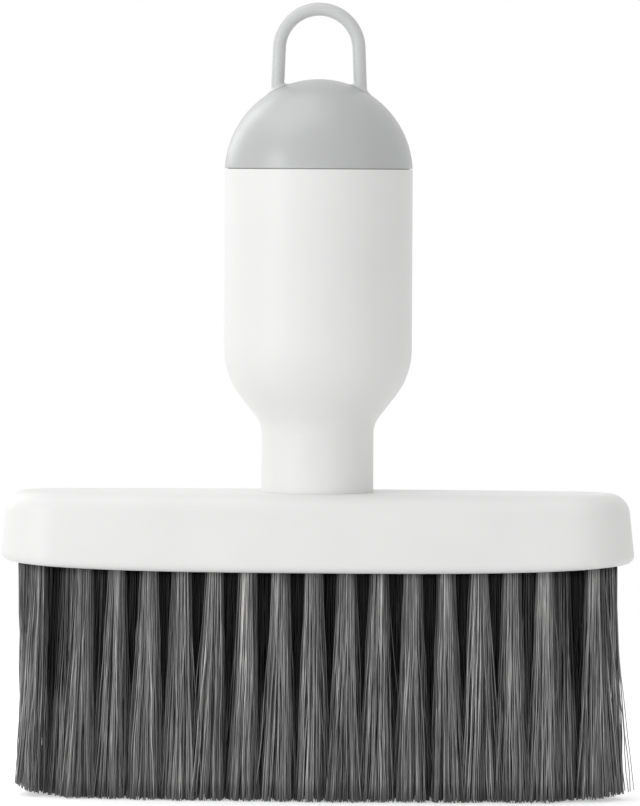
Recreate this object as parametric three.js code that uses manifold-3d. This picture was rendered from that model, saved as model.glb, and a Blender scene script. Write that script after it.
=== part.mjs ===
// A hand brush for cleaning keyboards: an oval head full of tufted bristles, a bottle-shaped handle that
// stands neck down on the head, and a domed cap with a hanging loop that closes the handle's mouth.
// Millimetres, +Z up. The bristle tips stand on Z = 0, X runs along the head and Y across it.
import * as THREE from "three";
import { mergeVertices } from "three/addons/utils/BufferGeometryUtils.js";
import Module from "manifold-3d";

const wasm = await Module();
wasm.setup();

// Head shell
const BRISTLE_REACH = 38.8; // tips to the lowest point of the rim
const HEAD_LENGTH = 108;
const HEAD_DEPTH = 28;
const HEAD_HEIGHT = 13.2;
const SIDE_BOW = 2.5; // how far each long side bows out past the end arcs
const HEAD_WALL = 2.2;
const TOP_ROUND = 3.7;
const RIM_ROUND = 1.3;
const RIM_SWEEP = 1.4; // how far the rim rises at the head's ends
const DRAFT_ANGLE = THREE.MathUtils.degToRad(5);
const LEDGE_WIDTH = 1.2; // stop for the tuft plate, round the inside of the shell
const RIB_WIDTH = 1.4;
const RIB_SPACING = 18;
const RIB_COUNT = 4;

// Stud on the head, and the handle that screws on it
const STUD_RADIUS = 6.4;
const STUD_LENGTH = 9;
const STUD_CHAMFER = 0.8;
const STUD_CORE_RADIUS = 3.2;
const STUD_CLEARANCE = 0.3;
const SEAT_DEPTH = 0.4; // shallow recess in the head's top that centres the neck
const HANDLE_HEIGHT = 55.2; // neck's foot to mouth
const HANDLE_RADIUS = 16;
const HANDLE_WALL = 2;
const NECK_RADIUS = 9.53;
const NECK_LENGTH = 11.2;
const NECK_FILLET = 2;
const SHOULDER_RADIUS = 12.8;
const SHOULDER_ANGLE = THREE.MathUtils.degToRad(38);

// Cap, snapped into the handle's mouth so that it can turn there
const SEAM_GAP = 0.25;
const DOME_RISE = 15.1; // crown above the handle's mouth
const DOME_WALL = 2;
const SKIRT_LENGTH = 7;
const SKIRT_WALL = 1.6;
const BEAD_DEPTH = 3.2; // middle of the snap bead, below the mouth
const BEAD_HEIGHT = 1.2;
const BEAD_RISE = 0.5;

// Hanging loop
const LOOP_RISE = 13.2; // crown above the dome's top
const LOOP_BAR_RADIUS = 1.12;
const LOOP_REACH = 7; // axis of each leg from the middle
const COLLAR_RADIUS = 1.7;
const COLLAR_HEIGHT = 0.7;
const FOOT_RADIUS = 1.75;
const FOOT_HEIGHT = 1.6;

// Tuft plate and tufted strips
const PLATE_THICKNESS = 3;
const STRIP_THICKNESS = 2.4;
const STRIP_RECESS = 1.6; // strips' underside above the lowest point of the rim
const ROOT_SINK = 0.4; // how far a strand's root is set into its strip
const TUFT_PITCH = 5.58;
const ROW_PITCH = 4.5;
const OUTER_ROW_INSET = 14.9; // end of the head to the last tuft of the outer, second and middle rows
const SECOND_ROW_INSET = 6.7;
const MIDDLE_ROW_INSET = 4.5;
const STRANDS_ROUND = 4; // strands round the upright one of each tuft
const STRAND_SIDES = 3;
const ROOT_SPREAD = 0.85;
const TIP_SPREAD = 1.6;
const STRAND_ROOT_RADIUS = 0.42;
const STRAND_TIP_RADIUS = 0.38;

// Fits
const FIT = 0.3; // sliding and running gaps
const SEAT_GAP = 0.1; // faces that rest on each other

// Facets
const ROUND_STEPS = 48;
const END_STEPS = 12;
const SIDE_STEPS = 8;
const FILLET_STEPS = 5;
const BAR_SIDES = 10;
const BAR_STEPS = 20;
const LEG_STEPS = 16;

// Levels, from the tips up
const rimLevel = BRISTLE_REACH;
const topLevel = rimLevel + HEAD_HEIGHT;
const ceilingLevel = topLevel - HEAD_WALL;
const stripLevel = rimLevel + STRIP_RECESS;
const plateLevel = stripLevel + STRIP_THICKNESS + SEAT_GAP;
const ledgeLevel = plateLevel + PLATE_THICKNESS + SEAT_GAP;
const seatLevel = topLevel - SEAT_DEPTH;
const footLevel = seatLevel + SEAT_GAP;
const mouthLevel = footLevel + HANDLE_HEIGHT;
const domeTop = mouthLevel + DOME_RISE;

// The dome is the part of a ball that meets the handle flush at its mouth
const domeRadius = (HANDLE_RADIUS ** 2 + DOME_RISE ** 2) / (2 * DOME_RISE);
const domeCentre = domeTop - domeRadius;

// Radii of the cap's snap fit, from the handle's mouth inwards and out again
const mouthRadius = HANDLE_RADIUS - HANDLE_WALL;
const skirtRadius = mouthRadius - FIT;
const beadRadius = skirtRadius + BEAD_RISE;
const grooveRadius = beadRadius + FIT;
const beadMiddle = mouthLevel - BEAD_DEPTH;

// The head's plan: an end arc at each end, met smoothly by two long side arcs
const endRadius = HEAD_DEPTH / 2 - SIDE_BOW;
const endCentre = HEAD_LENGTH / 2 - endRadius;
const sideCentre = (endCentre ** 2 - SIDE_BOW ** 2) / (2 * SIDE_BOW);
const sideRadius = HEAD_DEPTH / 2 + sideCentre;
const endTurn = Math.atan2(sideCentre, endCentre);

function arcPoints(x, y, radius, from, to, steps) {
  const points = [];
  for (let i = 0; i <= steps; i += 1) {
    const angle = from + ((to - from) * i) / steps;
    points.push(new THREE.Vector2(x + radius * Math.cos(angle), y + radius * Math.sin(angle)));
  }
  return points;
}

function ovalPoints(inset) {
  const end = endRadius - inset;
  const side = sideRadius - inset;
  const arcs = [
    arcPoints(endCentre, 0, end, -endTurn, endTurn, END_STEPS),
    arcPoints(0, -sideCentre, side, endTurn, Math.PI - endTurn, SIDE_STEPS),
    arcPoints(-endCentre, 0, end, Math.PI - endTurn, Math.PI + endTurn, END_STEPS),
    arcPoints(0, sideCentre, side, Math.PI + endTurn, 2 * Math.PI - endTurn, SIDE_STEPS),
  ];
  return arcs.flatMap((arc) => arc.slice(0, -1));
}

// How far the long side has curved back at a distance from the middle
function sideSag(x) {
  return sideRadius - Math.sqrt(sideRadius ** 2 - x ** 2);
}

function solidOf(geometry) {
  geometry.deleteAttribute("normal");
  geometry.deleteAttribute("uv");
  const merged = mergeVertices(geometry);
  const corners = merged.index.array;
  const triangles = [];
  for (let i = 0; i < corners.length; i += 3) {
    const [a, b, c] = corners.slice(i, i + 3);
    if (a !== b && b !== c && c !== a) {
      triangles.push(a, b, c);
    }
  }
  return new wasm.Manifold(
    new wasm.Mesh({
      numProp: 3,
      vertProperties: new Float32Array(merged.attributes.position.array),
      triVerts: new Uint32Array(triangles),
    }),
  );
}

// A profile of radius and level, going round its section counter-clockwise, turned about an upright axis
function revolve(profile, x = 0, steps = ROUND_STEPS) {
  const points = profile.map(([radius, level]) => new THREE.Vector2(radius, level));
  const geometry = new THREE.LatheGeometry(points, steps);
  return solidOf(geometry.rotateX(Math.PI / 2).translate(x, 0, 0));
}

function prism(points, level, height) {
  const settings = { depth: height, bevelEnabled: false };
  const geometry = new THREE.ExtrudeGeometry(new THREE.Shape(points), settings);
  return solidOf(geometry.translate(0, 0, level));
}

function block(width, depth, height, x, level) {
  const geometry = new THREE.BoxGeometry(width, depth, height);
  return solidOf(geometry.translate(x, 0, level + height / 2));
}

function post(radius, height, x, level, steps = ROUND_STEPS) {
  const geometry = new THREE.CylinderGeometry(radius, radius, height, steps);
  return solidOf(geometry.rotateX(Math.PI / 2).translate(x, 0, level + height / 2));
}

// Skins a stack of closed rings of equal count, from the first ring's flat end to the last one's
function loft(rings) {
  const count = rings[0].length;
  const middle = (ring) => new THREE.Vector3(0, 0, Math.min(...ring.map((point) => point.z)));
  const points = [...rings.flat(), middle(rings[0]), middle(rings.at(-1))];
  const first = points.length - 2;
  const last = points.length - 1;
  const lastRing = (rings.length - 1) * count;
  const triangles = [];
  for (let k = 0; k < count; k += 1) {
    const next = (k + 1) % count;
    triangles.push(first, k, next, last, lastRing + next, lastRing + k);
    for (let i = 0; i < rings.length - 1; i += 1) {
      const upper = i * count;
      const lower = upper + count;
      triangles.push(upper + k, lower + k, lower + next);
      triangles.push(upper + k, lower + next, upper + next);
    }
  }
  const geometry = new THREE.BufferGeometry().setFromPoints(points);
  geometry.setIndex(triangles);
  return solidOf(geometry);
}

function headShell() {
  const ring = (inset, level, sweep = 0) =>
    ovalPoints(inset).map(
      ({ x, y }) => new THREE.Vector3(x, y, level + sweep * (x / (HEAD_LENGTH / 2)) ** 4),
    );
  const draft = Math.tan(DRAFT_ANGLE) * (HEAD_HEIGHT - TOP_ROUND - RIM_ROUND);
  const topMiddle = topLevel - TOP_ROUND;
  const rimMiddle = rimLevel + RIM_ROUND;
  const top = arcPoints(draft + TOP_ROUND, topMiddle, TOP_ROUND, Math.PI / 2, Math.PI, FILLET_STEPS);
  const rim = arcPoints(RIM_ROUND, rimMiddle, RIM_ROUND, Math.PI, 1.5 * Math.PI, FILLET_STEPS);
  const shell = loft([
    ...top.map(({ x, y }) => ring(x, y)),
    ...rim.map(({ x, y }) => ring(x, y, RIM_SWEEP)),
    ring(HEAD_WALL, rimLevel, RIM_SWEEP),
    ring(HEAD_WALL, ledgeLevel),
    ring(HEAD_WALL + LEDGE_WIDTH, ledgeLevel),
    ring(HEAD_WALL + LEDGE_WIDTH, ceilingLevel),
  ]);
  const ribHeight = ceilingLevel - ledgeLevel + HEAD_WALL / 2;
  const ribs = [];
  for (let i = 0; i < RIB_COUNT; i += 1) {
    const x = (i - (RIB_COUNT - 1) / 2) * RIB_SPACING;
    const depth = HEAD_DEPTH - 2 * (sideSag(x) + HEAD_WALL);
    ribs.push(block(RIB_WIDTH, depth, ribHeight, x, ledgeLevel));
  }
  const studTop = seatLevel + STUD_LENGTH;
  const stud = revolve([
    [0, ledgeLevel],
    [STUD_RADIUS, ledgeLevel],
    [STUD_RADIUS, studTop - STUD_CHAMFER],
    [STUD_RADIUS - STUD_CHAMFER, studTop],
    [0, studTop],
  ]);
  const core = post(STUD_CORE_RADIUS, studTop - HEAD_WALL - rimLevel, 0, rimLevel, ROUND_STEPS / 2);
  const seat = post(NECK_RADIUS + FIT, 2 * SEAT_DEPTH, 0, seatLevel);
  return ribs
    .reduce((whole, rib) => whole.add(rib), shell)
    .subtract(seat)
    .add(stud)
    .subtract(core);
}

function tuftPlate() {
  return prism(ovalPoints(HEAD_WALL + FIT), plateLevel, PLATE_THICKNESS);
}

// Where row -2, -1, 0, 1 or 2 lies at a distance from the middle: the outer rows follow the long sides
function rowLine(row, x) {
  const share = row / 2;
  return row * ROW_PITCH - Math.sign(row) * sideSag(x) * share ** 2;
}

// Tufts stand in every gap of the row beside, so the second rows have an even count and the others an odd one
function rowTufts(row) {
  const insets = [MIDDLE_ROW_INSET, SECOND_ROW_INSET, OUTER_ROW_INSET];
  const span = HEAD_LENGTH - 2 * insets[Math.abs(row)];
  const odd = Math.abs(row) % 2;
  const gaps = 2 * Math.round((span / TUFT_PITCH - odd) / 2) + odd;
  const pitch = span / gaps;
  const tufts = [];
  for (let i = 0; i <= gaps; i += 1) {
    const x = (i - gaps / 2) * pitch;
    tufts.push(new THREE.Vector2(x, rowLine(row, x)));
  }
  return tufts;
}

// One strand from its root in the strip to its flat tip on Z = 0
function strand(root, tip) {
  const length = stripLevel + ROOT_SINK;
  const geometry = new THREE.CylinderGeometry(STRAND_ROOT_RADIUS, STRAND_TIP_RADIUS, length, STRAND_SIDES);
  geometry.rotateX(Math.PI / 2).translate(0, 0, length / 2);
  const lean = root.clone().sub(tip).divideScalar(length);
  const shear = new THREE.Matrix4().set(
    1, 0, lean.x, tip.x,
    0, 1, lean.y, tip.y,
    0, 0, 1, 0,
    0, 0, 0, 1,
  );
  return solidOf(geometry.applyMatrix4(shear));
}

function tuft(place) {
  const strands = [strand(place, place)];
  for (let i = 0; i < STRANDS_ROUND; i += 1) {
    const angle = (2 * Math.PI * (i + 0.5)) / STRANDS_ROUND;
    const way = new THREE.Vector2(Math.cos(angle), Math.sin(angle));
    const root = way.clone().multiplyScalar(ROOT_SPREAD).add(place);
    const tip = way.clone().multiplyScalar(TIP_SPREAD).add(place);
    strands.push(strand(root, tip));
  }
  return strands;
}

// The backing between two lines that run beside the rows, cut from the plate's own oval, with its tufts
function bristleStrip(rows, fromRow, toRow) {
  const reach = HEAD_LENGTH / 2;
  const edge = (row, shift) => {
    const points = [];
    for (let i = 0; i <= 2 * SIDE_STEPS; i += 1) {
      const x = (i / SIDE_STEPS - 1) * reach;
      points.push(new THREE.Vector2(x, rowLine(row, x) + shift));
    }
    return points;
  };
  const outline = [...edge(fromRow, FIT / 2), ...edge(toRow, -FIT / 2).reverse()];
  const oval = prism(ovalPoints(HEAD_WALL + FIT), stripLevel, STRIP_THICKNESS);
  const backing = prism(outline, stripLevel, STRIP_THICKNESS).intersect(oval);
  const strands = rows.flatMap((row) => rowTufts(row).flatMap((place) => tuft(place)));
  return wasm.Manifold.union([backing, ...strands]);
}

function handleBody() {
  const bore = STUD_RADIUS + STUD_CLEARANCE;
  const shoulderAxis = HANDLE_RADIUS - SHOULDER_RADIUS;
  const coneTop = shoulderAxis + SHOULDER_RADIUS * Math.cos(SHOULDER_ANGLE);
  const coneFoot = NECK_RADIUS + NECK_FILLET * (1 - Math.cos(SHOULDER_ANGLE));
  const filletLevel = footLevel + NECK_LENGTH;
  const coneLevel = filletLevel + NECK_FILLET * Math.sin(SHOULDER_ANGLE);
  const coneRise = (coneTop - coneFoot) / Math.tan(SHOULDER_ANGLE);
  const shoulderLevel = coneLevel + coneRise + SHOULDER_RADIUS * Math.sin(SHOULDER_ANGLE);
  const fillet = arcPoints(
    NECK_RADIUS + NECK_FILLET, filletLevel, NECK_FILLET, Math.PI, Math.PI - SHOULDER_ANGLE, FILLET_STEPS,
  );
  const shoulder = arcPoints(shoulderAxis, shoulderLevel, SHOULDER_RADIUS, -SHOULDER_ANGLE, 0, FILLET_STEPS);
  const innerRadius = SHOULDER_RADIUS - HANDLE_WALL;
  const innerShoulder = arcPoints(shoulderAxis, shoulderLevel, innerRadius, 0, -SHOULDER_ANGLE, FILLET_STEPS);
  const innerConeTop = innerShoulder.at(-1);
  const boreLevel = innerConeTop.y - (innerConeTop.x - bore) / Math.tan(SHOULDER_ANGLE);
  const grooveHalf = BEAD_HEIGHT / 2 + FIT;
  const pair = ({ x, y }) => [x, y];
  return revolve([
    [bore, footLevel],
    [NECK_RADIUS, footLevel],
    ...fillet.map(pair),
    ...shoulder.map(pair),
    [HANDLE_RADIUS, mouthLevel],
    [mouthRadius, mouthLevel],
    [mouthRadius, beadMiddle + grooveHalf + BEAD_RISE],
    [grooveRadius, beadMiddle + grooveHalf],
    [grooveRadius, beadMiddle - grooveHalf],
    [mouthRadius, beadMiddle - grooveHalf - BEAD_RISE],
    ...innerShoulder.map(pair),
    [bore, boreLevel],
    [bore, footLevel],
  ]);
}

// Both legs' axes, left and right
const legs = [-LOOP_REACH, LOOP_REACH];

function domeCap() {
  const skirtInside = skirtRadius - SKIRT_WALL;
  const skirtFoot = mouthLevel - SKIRT_LENGTH;
  const base = mouthLevel + SEAM_GAP;
  const beadHalf = BEAD_HEIGHT / 2;
  const inner = domeRadius - DOME_WALL;
  const outerStart = Math.asin((base - domeCentre) / domeRadius);
  const innerStart = Math.acos(skirtInside / inner);
  const outside = arcPoints(0, domeCentre, domeRadius, outerStart, Math.PI / 2, 2 * FILLET_STEPS);
  const inside = arcPoints(0, domeCentre, inner, Math.PI / 2, innerStart, 2 * FILLET_STEPS);
  const pair = ({ x, y }) => [Math.max(x, 0), y];
  const shell = revolve([
    [0, domeCentre + inner],
    ...inside.slice(1).map(pair),
    [skirtInside, skirtFoot],
    [skirtRadius, skirtFoot],
    [skirtRadius, beadMiddle - beadHalf - BEAD_RISE],
    [beadRadius, beadMiddle - beadHalf],
    [beadRadius, beadMiddle + beadHalf],
    [skirtRadius, beadMiddle + beadHalf + BEAD_RISE],
    [skirtRadius, base],
    ...outside.slice(0, -1).map(pair),
    [0, domeTop],
  ]);
  const holes = legs.map((x) => post(LOOP_BAR_RADIUS + FIT, domeRadius, x, domeCentre, LEG_STEPS));
  return holes.reduce((whole, hole) => whole.subtract(hole), shell);
}

// Up one leg, round the crown and down the other
class LoopPath extends THREE.CurvePath {
  constructor(legLevel, crownCentre) {
    super();
    const at = (x, level) => new THREE.Vector3(x, 0, level);
    const crown = arcPoints(0, crownCentre, LOOP_REACH, Math.PI, 0, BAR_STEPS).map(({ x, y }) => at(x, y));
    const points = [at(-LOOP_REACH, legLevel), ...crown, at(LOOP_REACH, legLevel)];
    for (let i = 1; i < points.length; i += 1) {
      this.add(new THREE.LineCurve3(points[i - 1], points[i]));
    }
  }
}

function hangLoop() {
  const crownCentre = domeTop + LOOP_RISE - LOOP_BAR_RADIUS - LOOP_REACH;
  const inner = domeRadius - DOME_WALL;
  const footTop = domeCentre + Math.sqrt(inner ** 2 - (LOOP_REACH + FOOT_RADIUS) ** 2) - FIT;
  const footEnd = footTop - FOOT_HEIGHT;
  const section = new THREE.Shape().absarc(0, 0, LOOP_BAR_RADIUS, 0, 2 * Math.PI);
  const bar = new THREE.ExtrudeGeometry(section, {
    extrudePath: new LoopPath(footEnd + FOOT_HEIGHT / 2, crownCentre),
    steps: 2 * BAR_STEPS,
    curveSegments: BAR_SIDES / 2,
    bevelEnabled: false,
  });
  const seatRadius = domeRadius + SEAT_GAP;
  const seat = arcPoints(0, domeCentre, seatRadius, 0, Math.PI / 2, 2 * FILLET_STEPS);
  const dome = revolve([
    [0, domeCentre],
    ...seat.slice(0, -1).map(({ x, y }) => [x, y]),
    [0, domeCentre + seatRadius],
  ]);
  const seatAt = (x) => domeCentre + Math.sqrt(seatRadius ** 2 - x ** 2);
  const collarFoot = seatAt(LOOP_REACH + COLLAR_RADIUS) - COLLAR_HEIGHT;
  const collarEdge = seatAt(LOOP_REACH);
  const collarTop = seatAt(LOOP_REACH - COLLAR_RADIUS) + COLLAR_HEIGHT;
  let loop = solidOf(bar);
  for (const x of legs) {
    const collarProfile = [
      [0, collarFoot],
      [COLLAR_RADIUS, collarFoot],
      [COLLAR_RADIUS, collarEdge],
      [LOOP_BAR_RADIUS, collarTop],
      [0, collarTop],
    ];
    const footProfile = [
      [0, footEnd],
      [LOOP_BAR_RADIUS, footEnd],
      [FOOT_RADIUS, footTop],
      [0, footTop],
    ];
    const collar = revolve(collarProfile, x, LEG_STEPS).subtract(dome);
    loop = loop.add(collar).add(revolve(footProfile, x, LEG_STEPS));
  }
  return loop;
}

const white = { color: 0xf2f2f0, roughness: 0.28, metalness: 0 };
const grey = { color: 0xc2c4c6, roughness: 0.42, metalness: 0 };
const charcoal = { color: 0x2a2b2d, roughness: 0.6, metalness: 0 };
const bristle = { color: 0x3a3b3d, roughness: 0.45, metalness: 0 };

function piece(name, solid, finish) {
  const { vertProperties, triVerts } = solid.getMesh();
  const geometry = new THREE.BufferGeometry();
  geometry.setAttribute("position", new THREE.BufferAttribute(vertProperties, 3));
  geometry.setIndex(new THREE.BufferAttribute(triVerts, 1));
  geometry.computeVertexNormals();
  const mesh = new THREE.Mesh(geometry, new THREE.MeshStandardMaterial(finish));
  mesh.name = name;
  return mesh;
}

const brush = new THREE.Group();
brush.add(
  piece("head_shell", headShell(), white),
  piece("tuft_plate", tuftPlate(), charcoal),
  piece("bristles_front", bristleStrip([-2, -1], -3, -0.5), bristle),
  piece("bristles_middle", bristleStrip([0], -0.5, 0.5), bristle),
  piece("bristles_rear", bristleStrip([1, 2], 0.5, 3), bristle),
  piece("handle_body", handleBody(), white),
  piece("dome_cap", domeCap(), grey),
  piece("hang_loop", hangLoop(), grey),
);

export default brush;
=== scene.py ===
"""Looks of the keyboard cleaning brush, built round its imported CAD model. The frame is in metres, +Z up.

Sizes are written in millimetres, as in the part's source, and become metres where a mesh is made. Finishes
and lamps are written in metres.
"""

import math

import bmesh
import bpy
import numpy as np
from mathutils import Matrix, Vector


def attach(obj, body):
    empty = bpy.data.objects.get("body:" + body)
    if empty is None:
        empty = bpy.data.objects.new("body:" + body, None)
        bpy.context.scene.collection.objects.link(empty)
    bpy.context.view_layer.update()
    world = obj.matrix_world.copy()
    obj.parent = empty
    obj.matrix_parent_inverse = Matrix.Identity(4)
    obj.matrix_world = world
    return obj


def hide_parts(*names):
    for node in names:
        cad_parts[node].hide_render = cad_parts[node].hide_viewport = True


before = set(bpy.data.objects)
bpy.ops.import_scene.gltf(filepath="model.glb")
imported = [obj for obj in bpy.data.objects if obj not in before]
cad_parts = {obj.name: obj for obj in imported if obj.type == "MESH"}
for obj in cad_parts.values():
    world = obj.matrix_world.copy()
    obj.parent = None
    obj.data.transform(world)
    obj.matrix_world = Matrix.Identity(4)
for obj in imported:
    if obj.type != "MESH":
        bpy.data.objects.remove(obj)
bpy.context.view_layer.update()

MM = 0.001

# Head
RIM_LEVEL = 38.8
TOP_LEVEL = 52.0
HEAD_LENGTH = 108.0
HEAD_DEPTH = 28.0
SIDE_BOW = 2.5
HEAD_WALL = 2.2
LEDGE_WIDTH = 1.2
LEDGE_LEVEL = 46.0
CEILING_LEVEL = 49.8
TOP_ROUND = 3.7
RIM_ROUND = 1.3
INNER_RIM_ROUND = 0.4
RIM_SWEEP = 1.4  # how much higher the rim lies at the ends of the head
SWEEP_POWER = 4  # and how late along the head it rises
DRAFT_ANGLE = math.radians(5)
WALL_SHARES = (0.04, 0.25, 0.5, 0.75, 0.96)  # heights of the wall's rings, from its foot to its top
SEAT_LEVEL = 51.6
SEAT_RADIUS = 9.62
CUT_CLEAR = 1.0  # how far the tool that cuts the seat stands out above the head
STUD_TOP = 60.6
STUD_RADIUS = 6.4
STUD_CHAMFER = 0.8
STUD_ROOT = 0.6  # how far the stud reaches down into the head

# Handle
FOOT_LEVEL = 51.7
MOUTH_LEVEL = 106.9
HANDLE_RADIUS = 16.0
HANDLE_WALL = 2.0
NECK_RADIUS = 9.53
NECK_LENGTH = 10.34
NECK_FILLET = 4.5
FOOT_ROUND = 0.2
SHOULDER_RADIUS = 12.8
SHOULDER_ANGLE = math.radians(38)
BORE_RADIUS = 6.7
BORE_FOOT_ROUND = 0.4
BORE_TOP_ROUND = 0.8
BORE_FOOT = 0.8  # height of the bore's foot, below the rings of its thread
ON_BORE = 1e-6  # how near to the bore's radius a point still counts as on the bore

# Cap
SEAM_GAP = 0.12
SEAM_ROUND = 0.08  # on the edges beside the seam
LAP_RADIUS = 15.6  # the step in the mouth that hides the inside of the seam
LAP_DEPTH = 0.4
LAP_ROUND = 0.25
DOME_RISE = 15.3
DOME_WALL = 2.0
DOME_POLE = 0.25  # radius of the small flat at the crown
SKIRT_RADIUS = 13.7
SKIRT_WALL = 1.6
SKIRT_LENGTH = 7.0
BEAD_DEPTH = 3.2
BEAD_HEIGHT = 1.2
BEAD_RISE = 0.5
FIT = 0.3
HOLE_START = 6.0  # how far above the dome's centre the loop's holes are cut from

# Loop
LOOP_RISE = 13.0
LOOP_BAR = 1.12
LOOP_REACH = 7.05
LOOP_LEAN = math.radians(2.2)  # how far each leg leans inwards
LOOP_FILLET = 0.75
LOOP_FOOT = 1.75
FOOT_TAPER = 1.6  # height of the cone that a foot narrows in
FOOT_EDGE = 0.1
COLLAR_GAP = 0.03  # between the dome and the fillet of a leg
LEG_START = 0.4  # how far above its fillet a leg begins to lean

# Threads of the stud and of the handle's bore
THREAD_PITCH = 2.4
THREAD_DEPTH = 0.5
THREAD_STEP = 0.12
THREAD_ROOT = 0.6  # flat of the root and rise of a flank, in quarters of the pitch
THREAD_FLANK = 0.8
THREAD_FADE = 0.8  # length over which a thread runs out
STUD_PLAIN = 0.6  # plain stretch under the stud's thread
BORE_PLAIN = 1.0  # and at both ends of the bore's

# Backing and rows of tufts
STRIP_LEVEL = 40.4
STRIP_THICKNESS = 2.4
TUFT_PITCH = 5.58
ROW_PITCH = 4.5
OUTER_ROW = 2
ROW_INSETS = (4.5, 6.7, 14.9)  # end of the head to the last tuft of the middle, second and outer rows

# Strands of a tuft
SEED = 11
FULL_TURN = 6.28  # radians, near enough for angles drawn at random
STRANDS = 110
STRAND_SIDES = 3
STRAND_ROOT = 0.125
STRAND_TIP = 0.1
STRAND_SPANS = 12
STRAND_BEND = (1.0, 1.7)  # powers of the bend outwards, from straight to late
WAVES = ((1.2, 0.13), (2.3, 0.07), (3.7, 0.035))  # bends along a strand, and how far each takes it aside
WAVE_GROWTH = 3  # how fast the waves grow: to their width over a third of the length
ROOT_DEPTH = 0.4  # how deep the roots stand in the backing
ROOT_JITTER = 0.06
TUFT_ROOT = 1.55
TUFT_TIP = 3.6
TUFT_LEAN = -0.45  # how far the tips lie aside of the roots at the middle of the head
TUFT_FAN = 0.018  # and how much that grows along the head
TUFT_JITTER = 0.35  # and how much it differs between tufts
LOCKS = 10  # locks that the strands of a tuft gather in towards the tips
LOCK_SPAN = 0.85  # share of the tuft's width at the tips that the locks stand in
LOCK_PULL = 0.4
LOCK_SPREAD = 0.25  # scatter of the tips within a lock
LOOSE_SHARE = 0.15  # strands that leave their lock
LOOSE_SPREAD = 0.9  # and the scatter of their tips
TIP_ENDS = (-51.0, 52.4)  # where the tips end along the head
END_PULL = 1.4  # how strongly tips past those ends are pulled back
STRAY_SHARE = 0.05  # strands that stand out past the right end
STRAY_START = 3.0  # from how far past the centre of the end's round
STRAY_REACH = (0.8, 3.2)
TIP_JITTER = 0.08
TIP_CLEAR = 0.02
TRIM_BOWS = ((2.1, 20), (0.8, 10))  # how much shorter the tips are at the left and right end, and how steeply
TRIM_REACH = 51.0  # distance from the middle of the head where they are that much shorter

# Painted shade of the strands, as shares of darkness painted into their colour and the bands over which it
# grows
DEEPEST_PAINTED_SHADE = 0.93  # deep between the tufts
DEEP_INSETS = (5.6, 7.2)  # inwards of the head's outline
DEEP_LEVELS = (7, 22)  # and upwards from the tips
SIDE_SHADE = (0.75, 0.4)  # along the sides of a tuft, at its root and at its tip
SIDE_BAND = (0.45, 0.95)  # in parts of half its width at the root
TIP_SHADE = 0.45  # at the cut ends
TIP_BAND = (0.2, 1.6)  # upwards from the tips

# Steps of arcs and rings
TURN_STEPS = 128
END_STEPS = 36
SIDE_STEPS = 36
INNER_RIM_STEPS = 5
RIM_STEPS = 12
TOP_STEPS = 16
CEILING_STEPS = 24
DOME_STEPS = 48
SEAM_STEPS = 6
LOOP_SIDES = 32
LOOP_STEPS = 64
LEG_STEPS = 7
FILLET_STEPS = 8
ROUND_STEP = math.radians(7)  # turn of one step round a rounded corner
ROUND_STEPS = 3  # steps that such a corner has at least
SUPPORT = 0.25  # distance of the ring that keeps a flat stretch flat beside a rounded edge
SUPPORT_ROOM = 3 * SUPPORT  # length of a flat stretch that has room for such a ring
SHARP_ANGLE = math.radians(30)
SLIVER = 1e-6  # metres

# Finishes: scales of noise, and how it is used
NOISE_RANGE = (0.3, 0.7)  # where most of a noise's values lie
NOISE_SEEDS = 60  # range that the seeds of a noise are spread over
CLOUD_SCALE = 45
GLOSS_SCALE = 260
GRAIN_DEPTH = 0.00004
HIGHLIGHT_STREAK_SCALE = 220  # painted highlights: lighter streaks along a strand
HIGHLIGHT_STREAK_STRETCH = (0, 0, 1)
HIGHLIGHT_STREAK_SHARE = 0.45
PATCH_SCALE = 800  # patches of neighbouring strands that are lighter or darker together
PATCH_STRETCH = (1, 1, 0.05)
PATCH_SHARE = 0.35
# Shades of the strands, from dark to light: tones that differ at random, with painted highlights in the
# lightest
BRISTLE_SHADES_AND_HIGHLIGHTS = (
    (0.15, (0.06, 0.06, 0.061)),
    (0.48, (0.28, 0.28, 0.281)),
    (0.68, (0.465, 0.463, 0.461)),
    (0.92, (0.85, 0.84, 0.83)),
)
# painted shade: the near black that strands turn where the tufts shade them
BRISTLE_PAINTED_SHADE = (0.008, 0.008, 0.008, 1)
BRISTLE_ROUGHNESS = (0.42, 0.28)  # of the darkest and the lightest streaks

# Floor and light
FLOOR_HALF = 4000.0
FLOOR_LEVEL = -0.05
FLOOR_COLOUR = (0.92, 0.92, 0.92, 1)
FLOOR_ROUGHNESS = 0.9
FLOOR_LIFT = 0.4  # light added where the floor is seen, so that its shadow is faint
SHADOW_REACH = (0.12, 0.4)  # metres from the brush between which the shadow gives way to plain white
AMBIENT = 0.63
WHITE = 1  # strength at which a background shows white
LAMP_AIM = (0, 0, 0.06)
LAMPS = (  # name, way from the aim, distance, width, height and power in watts
    ("key", (-0.76, -0.64, 0.1), 1.1, 0.3, 0.7, 2.7),
    ("front", (-0.3, -0.95, 0.05), 1.0, 1.2, 0.16, 0.9),
    ("top", (-0.36, -0.12, 0.92), 1.1, 1.0, 1.0, 3.3),
    ("rim", (-0.62, 0.66, 0.42), 1.1, 0.4, 0.75, 1.8),
)

# The photo's view: 640 by 806 pixels, 5.875 of them to a millimetre at the handle's axis
IMAGE_SIZE = (640, 806)
PIXELS_PER_MM = 5.875
EYE_DISTANCE = 1150.0
EYE_LEVEL = 107.0
EYE_AZIMUTH = math.radians(3.5)
HORIZON_ROW = 168.6
AXIS_COLUMN = 317.7
ROLL = math.radians(0.24)
SENSOR = 36.0
CLIP_START = 0.01  # metres
CLIP_END = 50


# Meshes

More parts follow.
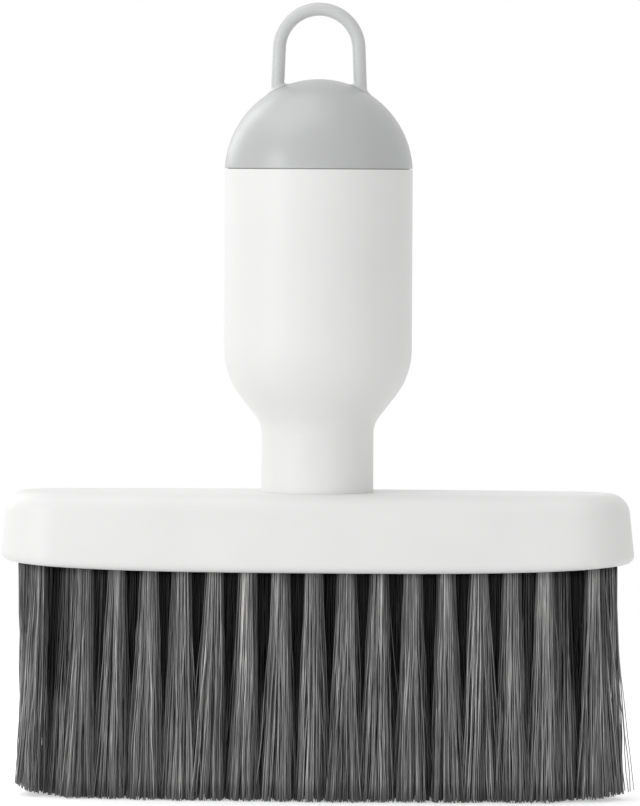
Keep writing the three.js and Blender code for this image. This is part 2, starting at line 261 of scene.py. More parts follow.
def skin(rings, closed=False):
    """Points and faces of a skin over closed rings of equal count, capped at its ends unless it is closed."""
    count = len(rings[0])
    spans = len(rings) if closed else len(rings) - 1
    faces = []
    for i in range(spans):
        a = i * count
        b = (i + 1) % len(rings) * count
        for k in range(count):
            n = (k + 1) % count
            faces.append((a + k, a + n, b + n, b + k))
    if not closed:
        last = (len(rings) - 1) * count
        faces.append(tuple(range(count - 1, -1, -1)))
        faces.append(tuple(range(last, last + count)))
    return np.concatenate(rings), faces


def add_object(name, data):
    obj = bpy.data.objects.new(name, data)
    bpy.context.scene.collection.objects.link(obj)
    return obj


def mesh_object(name, points, faces):
    mesh = bpy.data.meshes.new(name)
    mesh.from_pydata((np.asarray(points) * MM).tolist(), [], faces)
    mesh.validate()
    return add_object(name, mesh)


def smooth(obj):
    obj.data.shade_smooth()
    obj.data.set_sharp_from_angle(angle=SHARP_ANGLE)
    return obj


def carve(obj, tool, operation):
    """Joins or cuts with a tool, which is used up, and clears away the slivers that this leaves."""
    change = obj.modifiers.new(operation, "BOOLEAN")
    change.operation = operation
    change.solver = "EXACT"
    change.object = tool
    bpy.context.view_layer.objects.active = obj
    bpy.ops.object.modifier_apply(modifier=change.name)
    bpy.data.objects.remove(tool)
    shape = bmesh.new()
    shape.from_mesh(obj.data)
    bmesh.ops.remove_doubles(shape, verts=shape.verts, dist=SLIVER)
    bmesh.ops.dissolve_degenerate(shape, edges=shape.edges, dist=SLIVER)
    shape.to_mesh(obj.data)
    shape.free()


def piece(obj, body, slot, finish, *nodes):
    """Gives a piece its finish and the body that it rides on, and hides the CAD nodes that it stands for."""
    obj.data.materials.clear()
    obj.data.materials.append(finish)
    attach(obj, body)
    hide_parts(*nodes)


# Profiles and rings

def around(count):
    """Equal angles round a circle."""
    return np.arange(count) * 2 * math.pi / count


def arc(x, y, radius, start, end, steps):
    angles = np.linspace(start, end, steps + 1)
    return np.column_stack((x + radius * np.cos(angles), y + radius * np.sin(angles)))


def at_level(plan, level):
    """Points of a plan at one level, or each at a level of its own."""
    return np.column_stack((plan, np.broadcast_to(level, len(plan))))


def rounded(corners):
    """A closed profile from corners of (radius, level, round): each corner with a round becomes an arc."""
    points = [Vector(corner[:2]) for corner in corners]
    profile = []
    for i, (_, _, turn) in enumerate(corners):
        at = points[i]
        if turn == 0:
            profile.append(tuple(at))
            continue
        before = points[i - 1] - at
        after = points[(i + 1) % len(points)] - at
        back = before.normalized()
        ahead = after.normalized()
        half = back.angle(ahead) / 2
        reach = turn / math.tan(half)
        centre = at + (back + ahead).normalized() * (turn / math.sin(half))
        start = at + back * reach - centre
        sweep = start.angle_signed(at + ahead * reach - centre)
        steps = max(ROUND_STEPS, math.ceil(abs(sweep) / ROUND_STEP))
        if before.length > reach + SUPPORT_ROOM:
            profile.append(tuple(at + back * (reach + SUPPORT)))
        for k in range(steps + 1):
            angle = -sweep * k / steps
            profile.append((
                centre.x + start.x * math.cos(angle) - start.y * math.sin(angle),
                centre.y + start.x * math.sin(angle) + start.y * math.cos(angle),
            ))
        if after.length > reach + SUPPORT_ROOM:
            profile.append(tuple(at + ahead * (reach + SUPPORT)))
    return profile


def turned(profile, thread=None, steps=TURN_STEPS):
    """Rings of a profile turned about the Z axis; thread gives each point's change of radius."""
    angles = around(steps)
    rings = []
    for radius, level in profile:
        radii = np.full(steps, radius)
        if thread:
            radii = radii + thread(radius, level, angles)
        plan = np.column_stack((radii * np.cos(angles), radii * np.sin(angles)))
        rings.append(at_level(plan, level))
    return rings


def thread_cut(level, angles, low, high):
    """Depth of a thread at a level, for angles round its axis; it runs out towards two levels."""
    phase = (level / THREAD_PITCH - angles / (2 * math.pi)) % 1.0
    crest = np.clip((np.abs(phase - 0.5) * 4 - THREAD_ROOT) / THREAD_FLANK, 0, 1)
    fade = np.clip(min(level - low, high - level) / THREAD_FADE, 0, 1)
    return THREAD_DEPTH * fade * (1 - crest)


def levels(start, end, step):
    return np.linspace(start, end, max(2, round(abs(end - start) / step) + 1))


# The head's plan

end_radius = HEAD_DEPTH / 2 - SIDE_BOW
end_centre = HEAD_LENGTH / 2 - end_radius
side_centre = (end_centre**2 - SIDE_BOW**2) / (2 * SIDE_BOW)
side_radius = HEAD_DEPTH / 2 + side_centre
end_turn = math.atan2(side_centre, end_centre)


def oval(inset):
    end = end_radius - inset
    side = side_radius - inset
    arcs = (
        arc(end_centre, 0, end, -end_turn, end_turn, END_STEPS),
        arc(0, -side_centre, side, end_turn, math.pi - end_turn, SIDE_STEPS),
        arc(-end_centre, 0, end, math.pi - end_turn, math.pi + end_turn, END_STEPS),
        arc(0, side_centre, side, math.pi + end_turn, 2 * math.pi - end_turn, SIDE_STEPS),
    )
    return np.concatenate([points[:-1] for points in arcs])


def oval_ring(inset, level, sweep=0.0):
    plan = oval(inset)
    return at_level(plan, level + sweep * (plan[:, 0] / (HEAD_LENGTH / 2)) ** SWEEP_POWER)


def side_sag(x):
    return side_radius - np.sqrt(side_radius**2 - np.asarray(x) ** 2)


def half_depth(x, inset):
    """Half the distance across the oval, at places along the head."""
    end = end_radius - inset
    side = side_radius - inset
    x = np.abs(x)
    at_end = x > end_centre + end * math.cos(end_turn)
    round_end = np.sqrt(np.clip(end**2 - (x - end_centre) ** 2, 0, None))
    return np.where(at_end, round_end, np.sqrt(side**2 - x**2) - side_centre)


def inset_of(x, y):
    """How far a point of the plan lies inside the head's outline."""
    x = np.abs(x)
    y = np.abs(y)
    at_end = y < (x - end_centre) * math.tan(end_turn)
    return np.where(
        at_end,
        end_radius - np.hypot(x - end_centre, y),
        side_radius - np.hypot(x, y + side_centre),
    )


# Nodes of materials

def new_material(name):
    finish = bpy.data.materials.new(name)
    finish.use_nodes = True
    tree = finish.node_tree
    tree.nodes.clear()
    shader = tree.nodes.new("ShaderNodeBsdfPrincipled")
    output = tree.nodes.new("ShaderNodeOutputMaterial")
    tree.links.new(shader.outputs["BSDF"], output.inputs["Surface"])
    return finish, tree, shader


def noise(tree, scale, detail=2, stretch=None, seed=None):
    """Noise over the piece; a seed from another node gives each of its values a noise of its own."""
    place = tree.nodes.new("ShaderNodeTexCoord").outputs["Object"]
    if stretch:
        mapping = tree.nodes.new("ShaderNodeMapping")
        mapping.inputs["Scale"].default_value = stretch
        tree.links.new(place, mapping.inputs["Vector"])
        place = mapping.outputs["Vector"]
    texture = tree.nodes.new("ShaderNodeTexNoise")
    texture.inputs["Scale"].default_value = scale
    texture.inputs["Detail"].default_value = detail
    tree.links.new(place, texture.inputs["Vector"])
    if seed:
        texture.noise_dimensions = "4D"
        tree.links.new(spread(tree, seed, 0, NOISE_SEEDS, (0, 1)), texture.inputs["W"])
    return texture.outputs["Fac"]


def ramp(tree, value, *stops):
    node = tree.nodes.new("ShaderNodeValToRGB")
    elements = node.color_ramp.elements
    while len(elements) < len(stops):
        elements.new(0.5)
    for element, (position, colour) in zip(elements, stops):
        element.position = position
        element.color = (*colour, 1)
    tree.links.new(value, node.inputs["Fac"])
    return node.outputs["Color"]


def spread(tree, value, low, high, source=NOISE_RANGE):
    """A value of the source range, moved to the range from low to high."""
    node = tree.nodes.new("ShaderNodeMapRange")
    numbers = {"From Min": source[0], "From Max": source[1], "To Min": low, "To Max": high}
    for name, number in numbers.items():
        node.inputs[name].default_value = number
    tree.links.new(value, node.inputs["Value"])
    return node.outputs["Result"]


def blend(tree, kind, factor, first, second):
    """A mix of two sockets or values; the factor is one or the other too."""
    node = tree.nodes.new("ShaderNodeMix")
    node.data_type = kind
    for name, value in zip(("Factor", "A", "B"), (factor, first, second)):
        socket = next(s for s in node.inputs if s.name == name and s.enabled)
        if isinstance(value, bpy.types.NodeSocket):
            tree.links.new(value, socket)
        else:
            socket.default_value = value
    return next(s for s in node.outputs if s.enabled)


def bump(tree, shader, height, strength, distance):
    node = tree.nodes.new("ShaderNodeBump")
    node.inputs["Strength"].default_value = strength
    node.inputs["Distance"].default_value = distance
    tree.links.new(height, node.inputs["Height"])
    tree.links.new(node.outputs["Normal"], shader.inputs["Normal"])


# Finishes

def plastic(name, dark, light, roughness, specular, grain, grain_strength):
    """A moulded plastic: cloudy colour, uneven gloss and the fine texture of its mould."""
    finish, tree, shader = new_material(name)
    low, high = NOISE_RANGE
    cloud = noise(tree, CLOUD_SCALE, detail=3)
    gloss = noise(tree, GLOSS_SCALE, detail=4)
    tree.links.new(ramp(tree, cloud, (low, dark), (high, light)), shader.inputs["Base Color"])
    tree.links.new(spread(tree, gloss, *roughness), shader.inputs["Roughness"])
    shader.inputs["Specular IOR Level"].default_value = specular
    bump(tree, shader, noise(tree, grain, detail=3), grain_strength, GRAIN_DEPTH)
    return finish


def bristle_finish():
    """Drawn filament: strands of many shades, streaked along their length, with painted highlights in the
    lightest and painted shade deep between the tufts.
    """
    finish, tree, shader = new_material("bristle")
    strand = tree.nodes.new("ShaderNodeNewGeometry").outputs["Random Per Island"]
    # Painted highlights: lighter streaks along the strands and the lightest shades stand for glints of light
    highlight_streak = spread(tree, noise(tree, HIGHLIGHT_STREAK_SCALE, stretch=HIGHLIGHT_STREAK_STRETCH, seed=strand), 0, 1)
    patch = spread(tree, noise(tree, PATCH_SCALE, detail=1, stretch=PATCH_STRETCH), 0, 1)
    streaked = blend(tree, "FLOAT", HIGHLIGHT_STREAK_SHARE, strand, highlight_streak)
    shade = ramp(tree, blend(tree, "FLOAT", PATCH_SHARE, streaked, patch), *BRISTLE_SHADES_AND_HIGHLIGHTS)
    painted_shade = tree.nodes.new("ShaderNodeAttribute")
    painted_shade.attribute_name = "painted_shade"
    # Painted shade: the colour turns near black between the tufts, along their sides and at their cut ends
    colour = blend(tree, "RGBA", painted_shade.outputs["Fac"], shade, BRISTLE_PAINTED_SHADE)
    tree.links.new(colour, shader.inputs["Base Color"])
    tree.links.new(spread(tree, highlight_streak, *BRISTLE_ROUGHNESS, (0, 1)), shader.inputs["Roughness"])
    return finish


white_gloss = plastic(
    "white_gloss",
    dark=(0.815, 0.815, 0.81),
    light=(0.845, 0.845, 0.84),
    roughness=(0.38, 0.46),
    specular=0.4,
    grain=900,
    grain_strength=0.25,
)
grey_cap = plastic(
    "grey_cap",
    dark=(0.455, 0.458, 0.46),
    light=(0.48, 0.482, 0.484),
    roughness=(0.33, 0.39),
    specular=1.0,
    grain=1100,
    grain_strength=0.3,
)
# The cap's grey plastic, made lighter on the loop: painted light, standing for the light that the thin loop
# catches
grey_cap_painted_light = plastic(
    "grey_cap_painted_light",
    dark=(0.58, 0.583, 0.585),
    light=(0.61, 0.612, 0.614),
    roughness=(0.36, 0.44),
    specular=0.8,
    grain=1100,
    grain_strength=0.3,
)
charcoal_plate = plastic(
    "charcoal_plate",
    dark=(0.018, 0.018, 0.019),
    light=(0.03, 0.03, 0.031),
    roughness=(0.5, 0.65),
    specular=0.5,
    grain=1500,
    grain_strength=0.5,
)
bristle = bristle_finish()


# Head, with the threaded stud that the handle screws on

def head_skin():
    draft = math.tan(DRAFT_ANGLE) * (TOP_LEVEL - RIM_LEVEL - TOP_ROUND - RIM_ROUND)
    wall_foot = RIM_LEVEL + RIM_ROUND
    wall_top = TOP_LEVEL - TOP_ROUND
    inner_ledge = HEAD_WALL + LEDGE_WIDTH
    inner_centre = (HEAD_WALL - INNER_RIM_ROUND, RIM_LEVEL + INNER_RIM_ROUND)
    rings = [
        oval_ring(inner_ledge, CEILING_LEVEL),
        oval_ring(inner_ledge, LEDGE_LEVEL),
        oval_ring(HEAD_WALL, LEDGE_LEVEL),
    ]
    inner = arc(*inner_centre, INNER_RIM_ROUND, 0, -math.pi / 2, INNER_RIM_STEPS)
    rim = arc(RIM_ROUND, wall_foot, RIM_ROUND, 1.5 * math.pi, math.pi, RIM_STEPS)
    rings += [oval_ring(inset, level, RIM_SWEEP) for inset, level in (*inner, *rim)]
    for share in WALL_SHARES:
        level = wall_foot + share * (wall_top - wall_foot)
        rings.append(oval_ring(share * draft, level, RIM_SWEEP * (1 - share)))
    top = arc(draft + TOP_ROUND, wall_top, TOP_ROUND, math.pi, math.pi / 2, TOP_STEPS)
    rings += [oval_ring(inset, level) for inset, level in top]
    rings.append(oval_ring(draft + TOP_ROUND + SUPPORT, TOP_LEVEL))
    head = mesh_object("head_skin", *skin(rings))
    seat = [(SEAT_RADIUS, SEAT_LEVEL), (SEAT_RADIUS, TOP_LEVEL + CUT_CLEAR)]
    carve(head, mesh_object("seat", *skin(turned(seat))), "DIFFERENCE")
    carve(head, stud(), "UNION")
    return smooth(head)


def stud():
    shoulder = STUD_TOP - STUD_CHAMFER
    profile = [(STUD_RADIUS, SEAT_LEVEL - STUD_ROOT)]
    profile += [(STUD_RADIUS, level) for level in levels(SEAT_LEVEL, shoulder, THREAD_STEP)]
    profile.append((STUD_RADIUS - STUD_CHAMFER, STUD_TOP))

    def thread(radius, level, angles):
        if radius < STUD_RADIUS:
            return np.zeros(len(angles))
        return -thread_cut(level, angles, SEAT_LEVEL + STUD_PLAIN, shoulder)

    return mesh_object("stud", *skin(turned(profile, thread)))


piece(head_skin(), "head", "white_gloss", white_gloss, "head_shell")


# Handle, neck down

def handle_skin():
    slope = math.tan(SHOULDER_ANGLE)
    neck_corner = FOOT_LEVEL + NECK_LENGTH + NECK_FILLET * math.tan(SHOULDER_ANGLE / 2)
    shoulder_corner = neck_corner + (HANDLE_RADIUS - NECK_RADIUS) / slope
    mouth = HANDLE_RADIUS - HANDLE_WALL
    inner_corner = shoulder_corner + HANDLE_WALL * math.tan(SHOULDER_ANGLE / 2)
    bore_corner = inner_corner - (mouth - BORE_RADIUS) / slope
    bead = MOUTH_LEVEL - BEAD_DEPTH
    half = BEAD_HEIGHT / 2 + FIT
    groove = mouth + BEAD_RISE
    profile = rounded([
        (BORE_RADIUS, FOOT_LEVEL, BORE_FOOT_ROUND),
        (NECK_RADIUS, FOOT_LEVEL, FOOT_ROUND),
        (NECK_RADIUS, neck_corner, NECK_FILLET),
        (HANDLE_RADIUS, shoulder_corner, SHOULDER_RADIUS),
        (HANDLE_RADIUS, MOUTH_LEVEL, SEAM_ROUND),
        (LAP_RADIUS, MOUTH_LEVEL, 0),
        (LAP_RADIUS, MOUTH_LEVEL - LAP_DEPTH, 0),
        (mouth, MOUTH_LEVEL - LAP_DEPTH, LAP_ROUND),
        (mouth, bead + half + BEAD_RISE, 0),
        (groove, bead + half, 0),
        (groove, bead - half, 0),
        (mouth, bead - half - BEAD_RISE, 0),
        (mouth, inner_corner, SHOULDER_RADIUS - HANDLE_WALL),
        (BORE_RADIUS, bore_corner, BORE_TOP_ROUND),
    ])
    bore_top = profile[-1][1]
    bore_levels = levels(bore_top, FOOT_LEVEL + BORE_FOOT, THREAD_STEP)[1:-1]
    profile += [(BORE_RADIUS, level) for level in bore_levels]

    def thread(radius, level, angles):
        if abs(radius - BORE_RADIUS) > ON_BORE:
            return np.zeros(len(angles))
        return thread_cut(level, angles, FOOT_LEVEL + BORE_PLAIN, bore_corner - BORE_PLAIN)

    return smooth(mesh_object("handle_skin", *skin(turned(profile, thread), closed=True)))


piece(handle_skin(), "handle", "white_gloss", white_gloss, "handle_body")


# Cap

dome_top = MOUTH_LEVEL + DOME_RISE
dome_radius = (HANDLE_RADIUS**2 + DOME_RISE**2) / (2 * DOME_RISE)
dome_centre = dome_top - dome_radius


def on_dome(x, y, radius=dome_radius):
    return dome_centre + np.sqrt(radius**2 - np.asarray(x) ** 2 - np.asarray(y) ** 2)


def cap_skin():
    inside = SKIRT_RADIUS - SKIRT_WALL
    inner = dome_radius - DOME_WALL
    base = MOUTH_LEVEL + SEAM_GAP
    foot = MOUTH_LEVEL - SKIRT_LENGTH
    bead = MOUTH_LEVEL - BEAD_DEPTH
    half = BEAD_HEIGHT / 2
    lap = MOUTH_LEVEL - LAP_DEPTH + SEAM_GAP
    edge = base + SEAM_ROUND
    inner_turns = (math.acos(DOME_POLE / inner), math.acos(inside / inner))
    outer_turns = (math.asin((edge - dome_centre) / dome_radius), math.acos(DOME_POLE / dome_radius))
    ceiling = arc(0, dome_centre, inner, *inner_turns, CEILING_STEPS)
    outside = arc(0, dome_centre, dome_radius, *outer_turns, DOME_STEPS)
    rim = arc(outside[0][0] - SEAM_ROUND, edge, SEAM_ROUND, -math.pi / 2, 0, SEAM_STEPS)[:-1]
    profile = [
        *ceiling,
        (inside, foot),
        (SKIRT_RADIUS, foot),
        (SKIRT_RADIUS, bead - half - BEAD_RISE),
        (SKIRT_RADIUS + BEAD_RISE, bead - half),
        (SKIRT_RADIUS + BEAD_RISE, bead + half),
        (SKIRT_RADIUS, bead + half + BEAD_RISE),
        (SKIRT_RADIUS, lap),
        (LAP_RADIUS - SEAM_GAP, lap),
        (LAP_RADIUS - SEAM_GAP, base),
        *rim,
        *outside,
    ]
    cap = mesh_object("cap_skin", *skin(turned(profile)))
    hole = [(LOOP_BAR + FIT, dome_centre + HOLE_START), (LOOP_BAR + FIT, dome_top)]
    for side in (-1, 1):
        rings = [ring + (side * LOOP_REACH, 0, 0) for ring in turned(hole, steps=LOOP_SIDES)]
        carve(cap, mesh_object("hole", *skin(rings)), "DIFFERENCE")
    return smooth(cap)


piece(cap_skin(), "cap", "grey_cap", grey_cap, "dome_cap")


# Hanging loop

def leg_rings(side):
    """The foot of one leg, from inside the dome up to the top of its fillet on the dome."""
    angles = around(LOOP_SIDES)
    way = np.column_stack((side * np.cos(angles), np.sin(angles)))
    foot_top = on_dome(LOOP_REACH + LOOP_FOOT, 0, dome_radius - DOME_WALL) - FIT

    def ring(radius, level):
        return at_level(way * radius + (side * LOOP_REACH, 0), level)

    def ring_on_dome(radius, rise):
        plan = way * radius + (side * LOOP_REACH, 0)
        return at_level(plan, on_dome(plan[:, 0], plan[:, 1]) + rise)

    rings = [
        ring(LOOP_BAR, foot_top - FOOT_TAPER),
        ring(LOOP_FOOT - FOOT_EDGE, foot_top - FOOT_EDGE),
        ring(LOOP_FOOT, foot_top),
        ring(LOOP_BAR, foot_top),
        ring_on_dome(LOOP_BAR, COLLAR_GAP),
        ring_on_dome(LOOP_BAR + LOOP_FILLET, COLLAR_GAP),
    ]
    for turn in np.linspace(0, math.pi / 2, FILLET_STEPS + 1):
        radius = LOOP_BAR + LOOP_FILLET * (1 - math.sin(turn))
        rings.append(ring_on_dome(radius, 2 * COLLAR_GAP + LOOP_FILLET * (1 - math.cos(turn))))
    return rings


def loop_skin():
    """A bar from foot to foot: legs that lean inwards above the dome, and an arc that joins them."""
    angles = around(LOOP_SIDES)
    lean_sin = math.sin(LOOP_LEAN)
    lean_cos = math.cos(LOOP_LEAN)
    seat = float(on_dome(LOOP_REACH, 0))
    top = dome_top + LOOP_RISE - LOOP_BAR
    crown_radius = (lean_cos * LOOP_REACH - lean_sin * (top - seat)) / (1 - lean_sin)
    crown = top - crown_radius
    near = leg_rings(-1)
    far = leg_rings(1)
    start = float(near[-1][:, 2].max()) + LEG_START
    spring = crown + crown_radius * lean_sin

    def leaning(side, level):
        reach = LOOP_REACH - math.tan(LOOP_LEAN) * (level - seat)
        out = side * (reach + LOOP_BAR * np.cos(angles))
        return at_level(np.column_stack((out, LOOP_BAR * np.sin(angles))), level)

    leg_levels = np.linspace(start, spring, LEG_STEPS + 1)[:-1]
    rings = near + [leaning(-1, level) for level in leg_levels]
    for turn in np.linspace(math.pi - LOOP_LEAN, LOOP_LEAN, LOOP_STEPS + 1):
        out = crown_radius + LOOP_BAR * np.cos(angles)
        plan = np.column_stack((out * math.cos(turn), LOOP_BAR * np.sin(angles)))
        rings.append(at_level(plan, crown + out * math.sin(turn)))
    rings += [leaning(1, level) for level in leg_levels[::-1]] + far[::-1]
    points, faces = skin(rings)
    return smooth(mesh_object("loop_skin", points, [face[::-1] for face in faces]))


# The loop takes the cap's grey made lighter, as painted light
piece(loop_skin(), "cap", "grey_cap", grey_cap_painted_light, "hang_loop")


# Tufts

def row_line(row, x):
    return row * ROW_PITCH - np.sign(row) * side_sag(x) * (row / OUTER_ROW) ** 2


def row_tufts(row):
    span = HEAD_LENGTH - 2 * ROW_INSETS[abs(row)]
    odd = abs(row) % 2
    gaps = 2 * round((span / TUFT_PITCH - odd) / 2) + odd
    x = (np.arange(gaps + 1) - gaps / 2) * span / gaps
    return np.column_stack((x, row_line(row, x)))


def sunflower(count, radius, turn):
    """Points spread evenly over a disc, each a golden angle on from the last."""
    k = np.arange(count) + 0.5
    angles = k * math.pi * (3 - math.sqrt(5)) + turn
    return np.column_stack((np.cos(angles), np.sin(angles))) * (radius * np.sqrt(k / count))[:, None]


def tuft_lines(place, random):
    """Centre lines of a tuft's strands, from root to tip, as an array of strands, points and x, y, z."""
    roots = sunflower(STRANDS, TUFT_ROOT, random.uniform(0, FULL_TURN))
    roots += random.normal(0, ROOT_JITTER, roots.shape)
    tips = place + tuft_tips(roots, place, random)
    roots = place + roots
    share = np.linspace(0, 1, STRAND_SPANS + 1)
    bend = random.uniform(*STRAND_BEND, STRANDS)
    lean = share[None, :] ** bend[:, None]
    flat = roots[:, None] + (tips - roots)[:, None] * lean[..., None]
    growth = np.minimum(share * WAVE_GROWTH, 1)
    for turns, reach in WAVES:
        side = random.normal(0, reach, (STRANDS, 2))
        phase = random.uniform(0, FULL_TURN, STRANDS)
        sway = np.sin(share[None, :] * turns * FULL_TURN + phase[:, None]) * growth
        flat += side[:, None] * sway[..., None]
    top = STRIP_LEVEL + ROOT_DEPTH
    trim = np.abs(random.normal(0, TIP_JITTER, STRANDS)) + trim_bow(tips[:, 0])
    heights = top + (trim[:, None] + TIP_CLEAR - top) * share[None, :]
    return np.concatenate((flat, heights[..., None]), axis=2)


def tuft_tips(roots, place, random):
    """Where the strands end, from the tuft's middle: fanned out, gathered in locks, a few astray."""
    tips = roots * (TUFT_TIP / TUFT_ROOT)
    locks = sunflower(LOCKS, TUFT_TIP * LOCK_SPAN, random.uniform(0, FULL_TURN))
    nearest = np.argmin(((tips[:, None] - locks[None]) ** 2).sum(2), axis=1)
    tips += (locks[nearest] - tips) * LOCK_PULL
    loose = random.random(STRANDS) < LOOSE_SHARE
    scatter = np.where(loose, LOOSE_SPREAD, LOCK_SPREAD)
    tips += random.normal(0, 1, tips.shape) * scatter[:, None]
    tips += random.normal((TUFT_LEAN + TUFT_FAN * place[0], 0), TUFT_JITTER)
    left, right = (end - place[0] for end in TIP_ENDS)
    past_left = np.clip(left - tips[:, 0], 0, None)
    past_right = np.clip(tips[:, 0] - right, 0, None)
    tips[:, 0] += END_PULL * past_left - END_PULL * past_right
    if place[0] > end_centre + STRAY_START:
        stray = random.random(STRANDS) < STRAY_SHARE
        tips[:, 0] += stray * random.uniform(*STRAY_REACH, STRANDS)
    return tips


def trim_bow(x):
    """How much shorter the strands are, by where their tips lie along the head."""
    (left, left_power), (right, right_power) = TRIM_BOWS
    share = np.abs(x) / TRIM_REACH
    return np.where(x < 0, left * share**left_power, right * share**right_power)


def smoothstep(low, high, value):
    share = np.clip((value - low) / (high - low), 0, 1)
    return share * share * (3 - 2 * share)


def strand_painted_shade(lines, place):
    """Painted shade at each point of a tuft: most deep between the tufts, less on its sides and cut ends."""
    inset = inset_of(lines[:, 0, 0], lines[:, 0, 1])
    level = lines[:, :, 2]
    deep = DEEPEST_PAINTED_SHADE * smoothstep(*DEEP_INSETS, inset)[:, None] * smoothstep(*DEEP_LEVELS, level)
    aside = np.abs(lines[:, 0, 0] - place[0]) / TUFT_ROOT
    root, tip = SIDE_SHADE
    between = smoothstep(*SIDE_BAND, aside)[:, None] * (tip + (root - tip) * level / STRIP_LEVEL)
    end = TIP_SHADE * (1 - smoothstep(*TIP_BAND, level))
    return np.maximum(np.maximum(deep, between), end)


def strand_mesh(lines, random):
    """Strands of a few sides round their centre lines, capped at both ends."""
    count, spots = lines.shape[:2]
    turn = random.uniform(0, FULL_TURN, count)
    angles = turn[:, None] + around(STRAND_SIDES)
    radii = np.linspace(STRAND_ROOT, STRAND_TIP, spots)
    section = np.stack((np.cos(angles), np.sin(angles), np.zeros_like(angles)), axis=2)
    points = lines[:, :, None, :] + section[:, None] * radii[None, :, None, None]
    first = np.arange(count) * spots * STRAND_SIDES
    corner = np.arange(STRAND_SIDES)
    follow = (corner + 1) % STRAND_SIDES
    base = first[:, None, None] + np.arange(spots - 1)[None, :, None] * STRAND_SIDES
    below = base + STRAND_SIDES
    quads = np.stack((below + corner, below + follow, base + follow, base + corner), axis=3)
    tips = first[:, None] + (spots - 1) * STRAND_SIDES + corner[::-1]
    roots = first[:, None] + corner
    faces = quads.reshape(-1, 4).tolist() + tips.tolist() + roots.tolist()
    return points.reshape(-1, 3), faces


def strip(from_row, to_row):
    """The backing between two lines beside the rows, inside the plate's oval."""
    inset = HEAD_WALL + FIT
    turn = np.linspace(-math.pi / 2, math.pi / 2, 2 * SIDE_STEPS + 1)
    x = (HEAD_LENGTH / 2 - inset) * np.sin(turn)
    half = half_depth(x, inset)
    low = np.maximum(row_line(from_row, x) + FIT / 2, -half)
    high = np.minimum(row_line(to_row, x) - FIT / 2, half)
    inside = high - low > FIT
    near = np.column_stack((x, low))[inside]
    far = np.column_stack((x, high))[inside][::-1]
    plan = np.concatenate((near, far))
    return skin([at_level(plan, STRIP_LEVEL + rise) for rise in (0, STRIP_THICKNESS)])


def tufts(name, row, node=None, backing=None):
    """A row of tufts, with the strip of backing between two row lines where it carries a node."""
    random = np.random.default_rng(SEED + row)
    places = row_tufts(row)
    bunches = [tuft_lines(place, random) for place in places]
    points, faces = strand_mesh(np.concatenate(bunches), random)
    painted_shade = np.concatenate([strand_painted_shade(lines, place) for lines, place in zip(bunches, places)])
    painted_shade = np.repeat(painted_shade.reshape(-1), STRAND_SIDES)
    strand_faces = len(faces)
    if backing:
        strip_points, strip_faces = strip(*backing)
        faces += [tuple(np.array(face) + len(points)) for face in strip_faces]
        points = np.concatenate((points, strip_points))
        # Painted shade: the backing takes the deepest painted shade
        painted_shade = np.concatenate((painted_shade, np.full(len(strip_points), DEEPEST_PAINTED_SHADE)))
    obj = mesh_object(name, points, faces)
    obj.data.attributes.new("painted_shade", "FLOAT", "POINT").data.foreach_set("value", painted_shade.astype(np.float32))
    obj.data.polygons.foreach_set("use_smooth", [i < strand_faces for i in range(len(faces))])
    nodes = [node] if node else []
    piece(obj, "head", "bristle", bristle, *nodes)


tufts("tufts_front", -2, "bristles_front", (-3, -0.5))
tufts("tufts_front_inner", -1)
tufts("tufts_middle", 0, "bristles_middle", (-0.5, 0.5))
tufts("tufts_rear_inner", 1)
tufts("tufts_rear", 2, "bristles_rear", (0.5, 3))


# Tuft plate, which keeps its CAD mesh

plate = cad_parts["tuft_plate"]
plate.data.materials.clear()
plate.data.materials.append(charcoal_plate)


# Floor and light

def seen_directly(tree):
    """1 for rays that show the background: from the camera, by reflection or through glass."""
    path = tree.nodes.new("ShaderNodeLightPath")
    seen = path.outputs["Is Camera Ray"]
    for name in ("Is Glossy Ray", "Is Transmission Ray"):
        either = tree.nodes.new("ShaderNodeMath")
        either.operation = "MAXIMUM"
        tree.links.new(seen, either.inputs[0])
        tree.links.new(path.outputs[name], either.inputs[1])
        seen = either.outputs[0]
    return seen


def white_light(tree, kind, strength):
    """A white shader of its own light: a background or an emission."""
    node = tree.nodes.new(kind)
    node.inputs["Color"].default_value = (1, 1, 1, 1)
    node.inputs["Strength"].default_value = strength
    return node.outputs[0]


def joined(tree, kind, *sources):
    """A node that adds or mixes shaders, with its inputs linked in order."""
    node = tree.nodes.new(kind)
    for source, socket in zip(sources, node.inputs):
        tree.links.new(source, socket)
    return node.outputs[0]


def white_world():
    world = bpy.data.worlds.new("studio")
    bpy.context.scene.world = world
    world.use_nodes = True
    tree = world.node_tree
    tree.nodes.clear()
    ambient = white_light(tree, "ShaderNodeBackground", AMBIENT)
    backdrop = white_light(tree, "ShaderNodeBackground", WHITE)
    shown = joined(tree, "ShaderNodeMixShader", seen_directly(tree), ambient, backdrop)
    output = tree.nodes.new("ShaderNodeOutputWorld")
    tree.links.new(shown, output.inputs["Surface"])


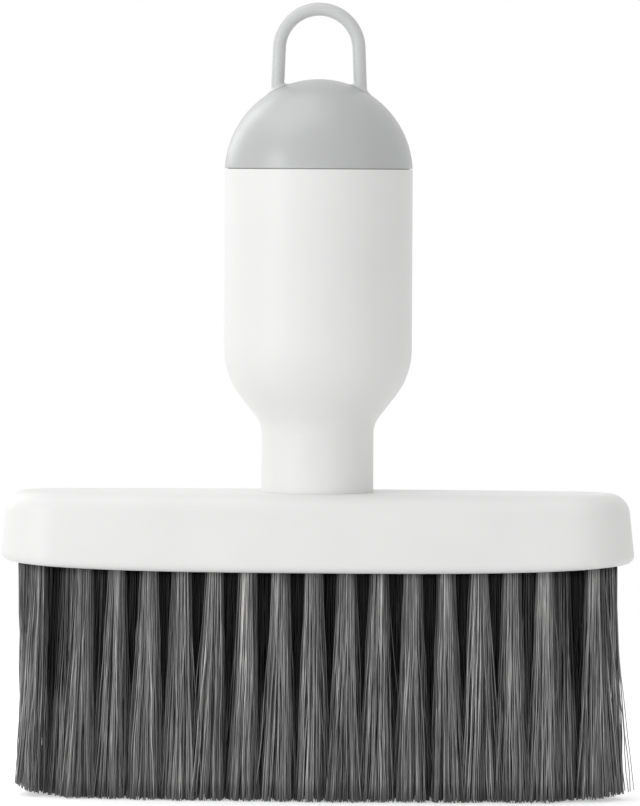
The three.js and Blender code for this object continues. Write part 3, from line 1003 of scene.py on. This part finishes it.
def white_floor():
    """A pale floor that keeps the shadow near the brush and is plain white further out."""
    ways = ((-1, -1), (1, -1), (1, 1), (-1, 1))
    corners = [(x * FLOOR_HALF, y * FLOOR_HALF, FLOOR_LEVEL) for x, y in ways]
    floor = mesh_object("floor", corners, [(0, 1, 2, 3)])
    finish, tree, shader = new_material("floor")
    shader.inputs["Base Color"].default_value = FLOOR_COLOUR
    shader.inputs["Roughness"].default_value = FLOOR_ROUGHNESS
    distance = tree.nodes.new("ShaderNodeVectorMath")
    distance.operation = "LENGTH"
    tree.links.new(tree.nodes.new("ShaderNodeTexCoord").outputs["Object"], distance.inputs[0])
    far = spread(tree, distance.outputs["Value"], 0, 1, SHADOW_REACH)
    lit = shader.outputs["BSDF"]
    lifted = joined(tree, "ShaderNodeAddShader", lit, white_light(tree, "ShaderNodeEmission", FLOOR_LIFT))
    plain = white_light(tree, "ShaderNodeEmission", WHITE)
    backdrop = joined(tree, "ShaderNodeMixShader", far, lifted, plain)
    shown = joined(tree, "ShaderNodeMixShader", seen_directly(tree), lit, backdrop)
    tree.links.new(shown, tree.nodes["Material Output"].inputs["Surface"])
    floor.data.materials.append(finish)


def area_light(name, way, distance, width, height, power):
    lamp = bpy.data.lights.new(name, "AREA")
    lamp.shape = "RECTANGLE"
    lamp.size = width
    lamp.size_y = height
    lamp.energy = power
    obj = add_object(name, lamp)
    way = Vector(way).normalized()
    obj.location = Vector(LAMP_AIM) + way * distance
    obj.rotation_euler = way.to_track_quat("Z", "Y").to_euler()
    obj.visible_camera = False


white_world()
white_floor()
for lamp in LAMPS:
    area_light(*lamp)


# Camera

def photo_camera():
    focal_pixels = PIXELS_PER_MM * EYE_DISTANCE
    width, height = IMAGE_SIZE
    camera = bpy.data.cameras.new("camera")
    camera.sensor_fit = "VERTICAL"
    camera.sensor_height = SENSOR
    camera.lens = focal_pixels * SENSOR / height
    camera.clip_start = CLIP_START
    camera.clip_end = CLIP_END
    obj = add_object("camera", camera)
    pitch = math.atan((height / 2 - HORIZON_ROW) / focal_pixels)
    yaw = math.atan((width / 2 - AXIS_COLUMN) / focal_pixels)
    turn = Matrix.Rotation(EYE_AZIMUTH - yaw, 4, "Z")
    tilt = Matrix.Rotation(math.pi / 2 - pitch, 4, "X")
    place = Vector((math.sin(EYE_AZIMUTH), -math.cos(EYE_AZIMUTH), 0)) * EYE_DISTANCE
    place.z = EYE_LEVEL
    obj.matrix_world = Matrix.Translation(place * MM) @ turn @ tilt @ Matrix.Rotation(ROLL, 4, "Z")
    bpy.context.scene.camera = obj


photo_camera()
bpy.context.scene.view_settings.view_transform = "Standard"
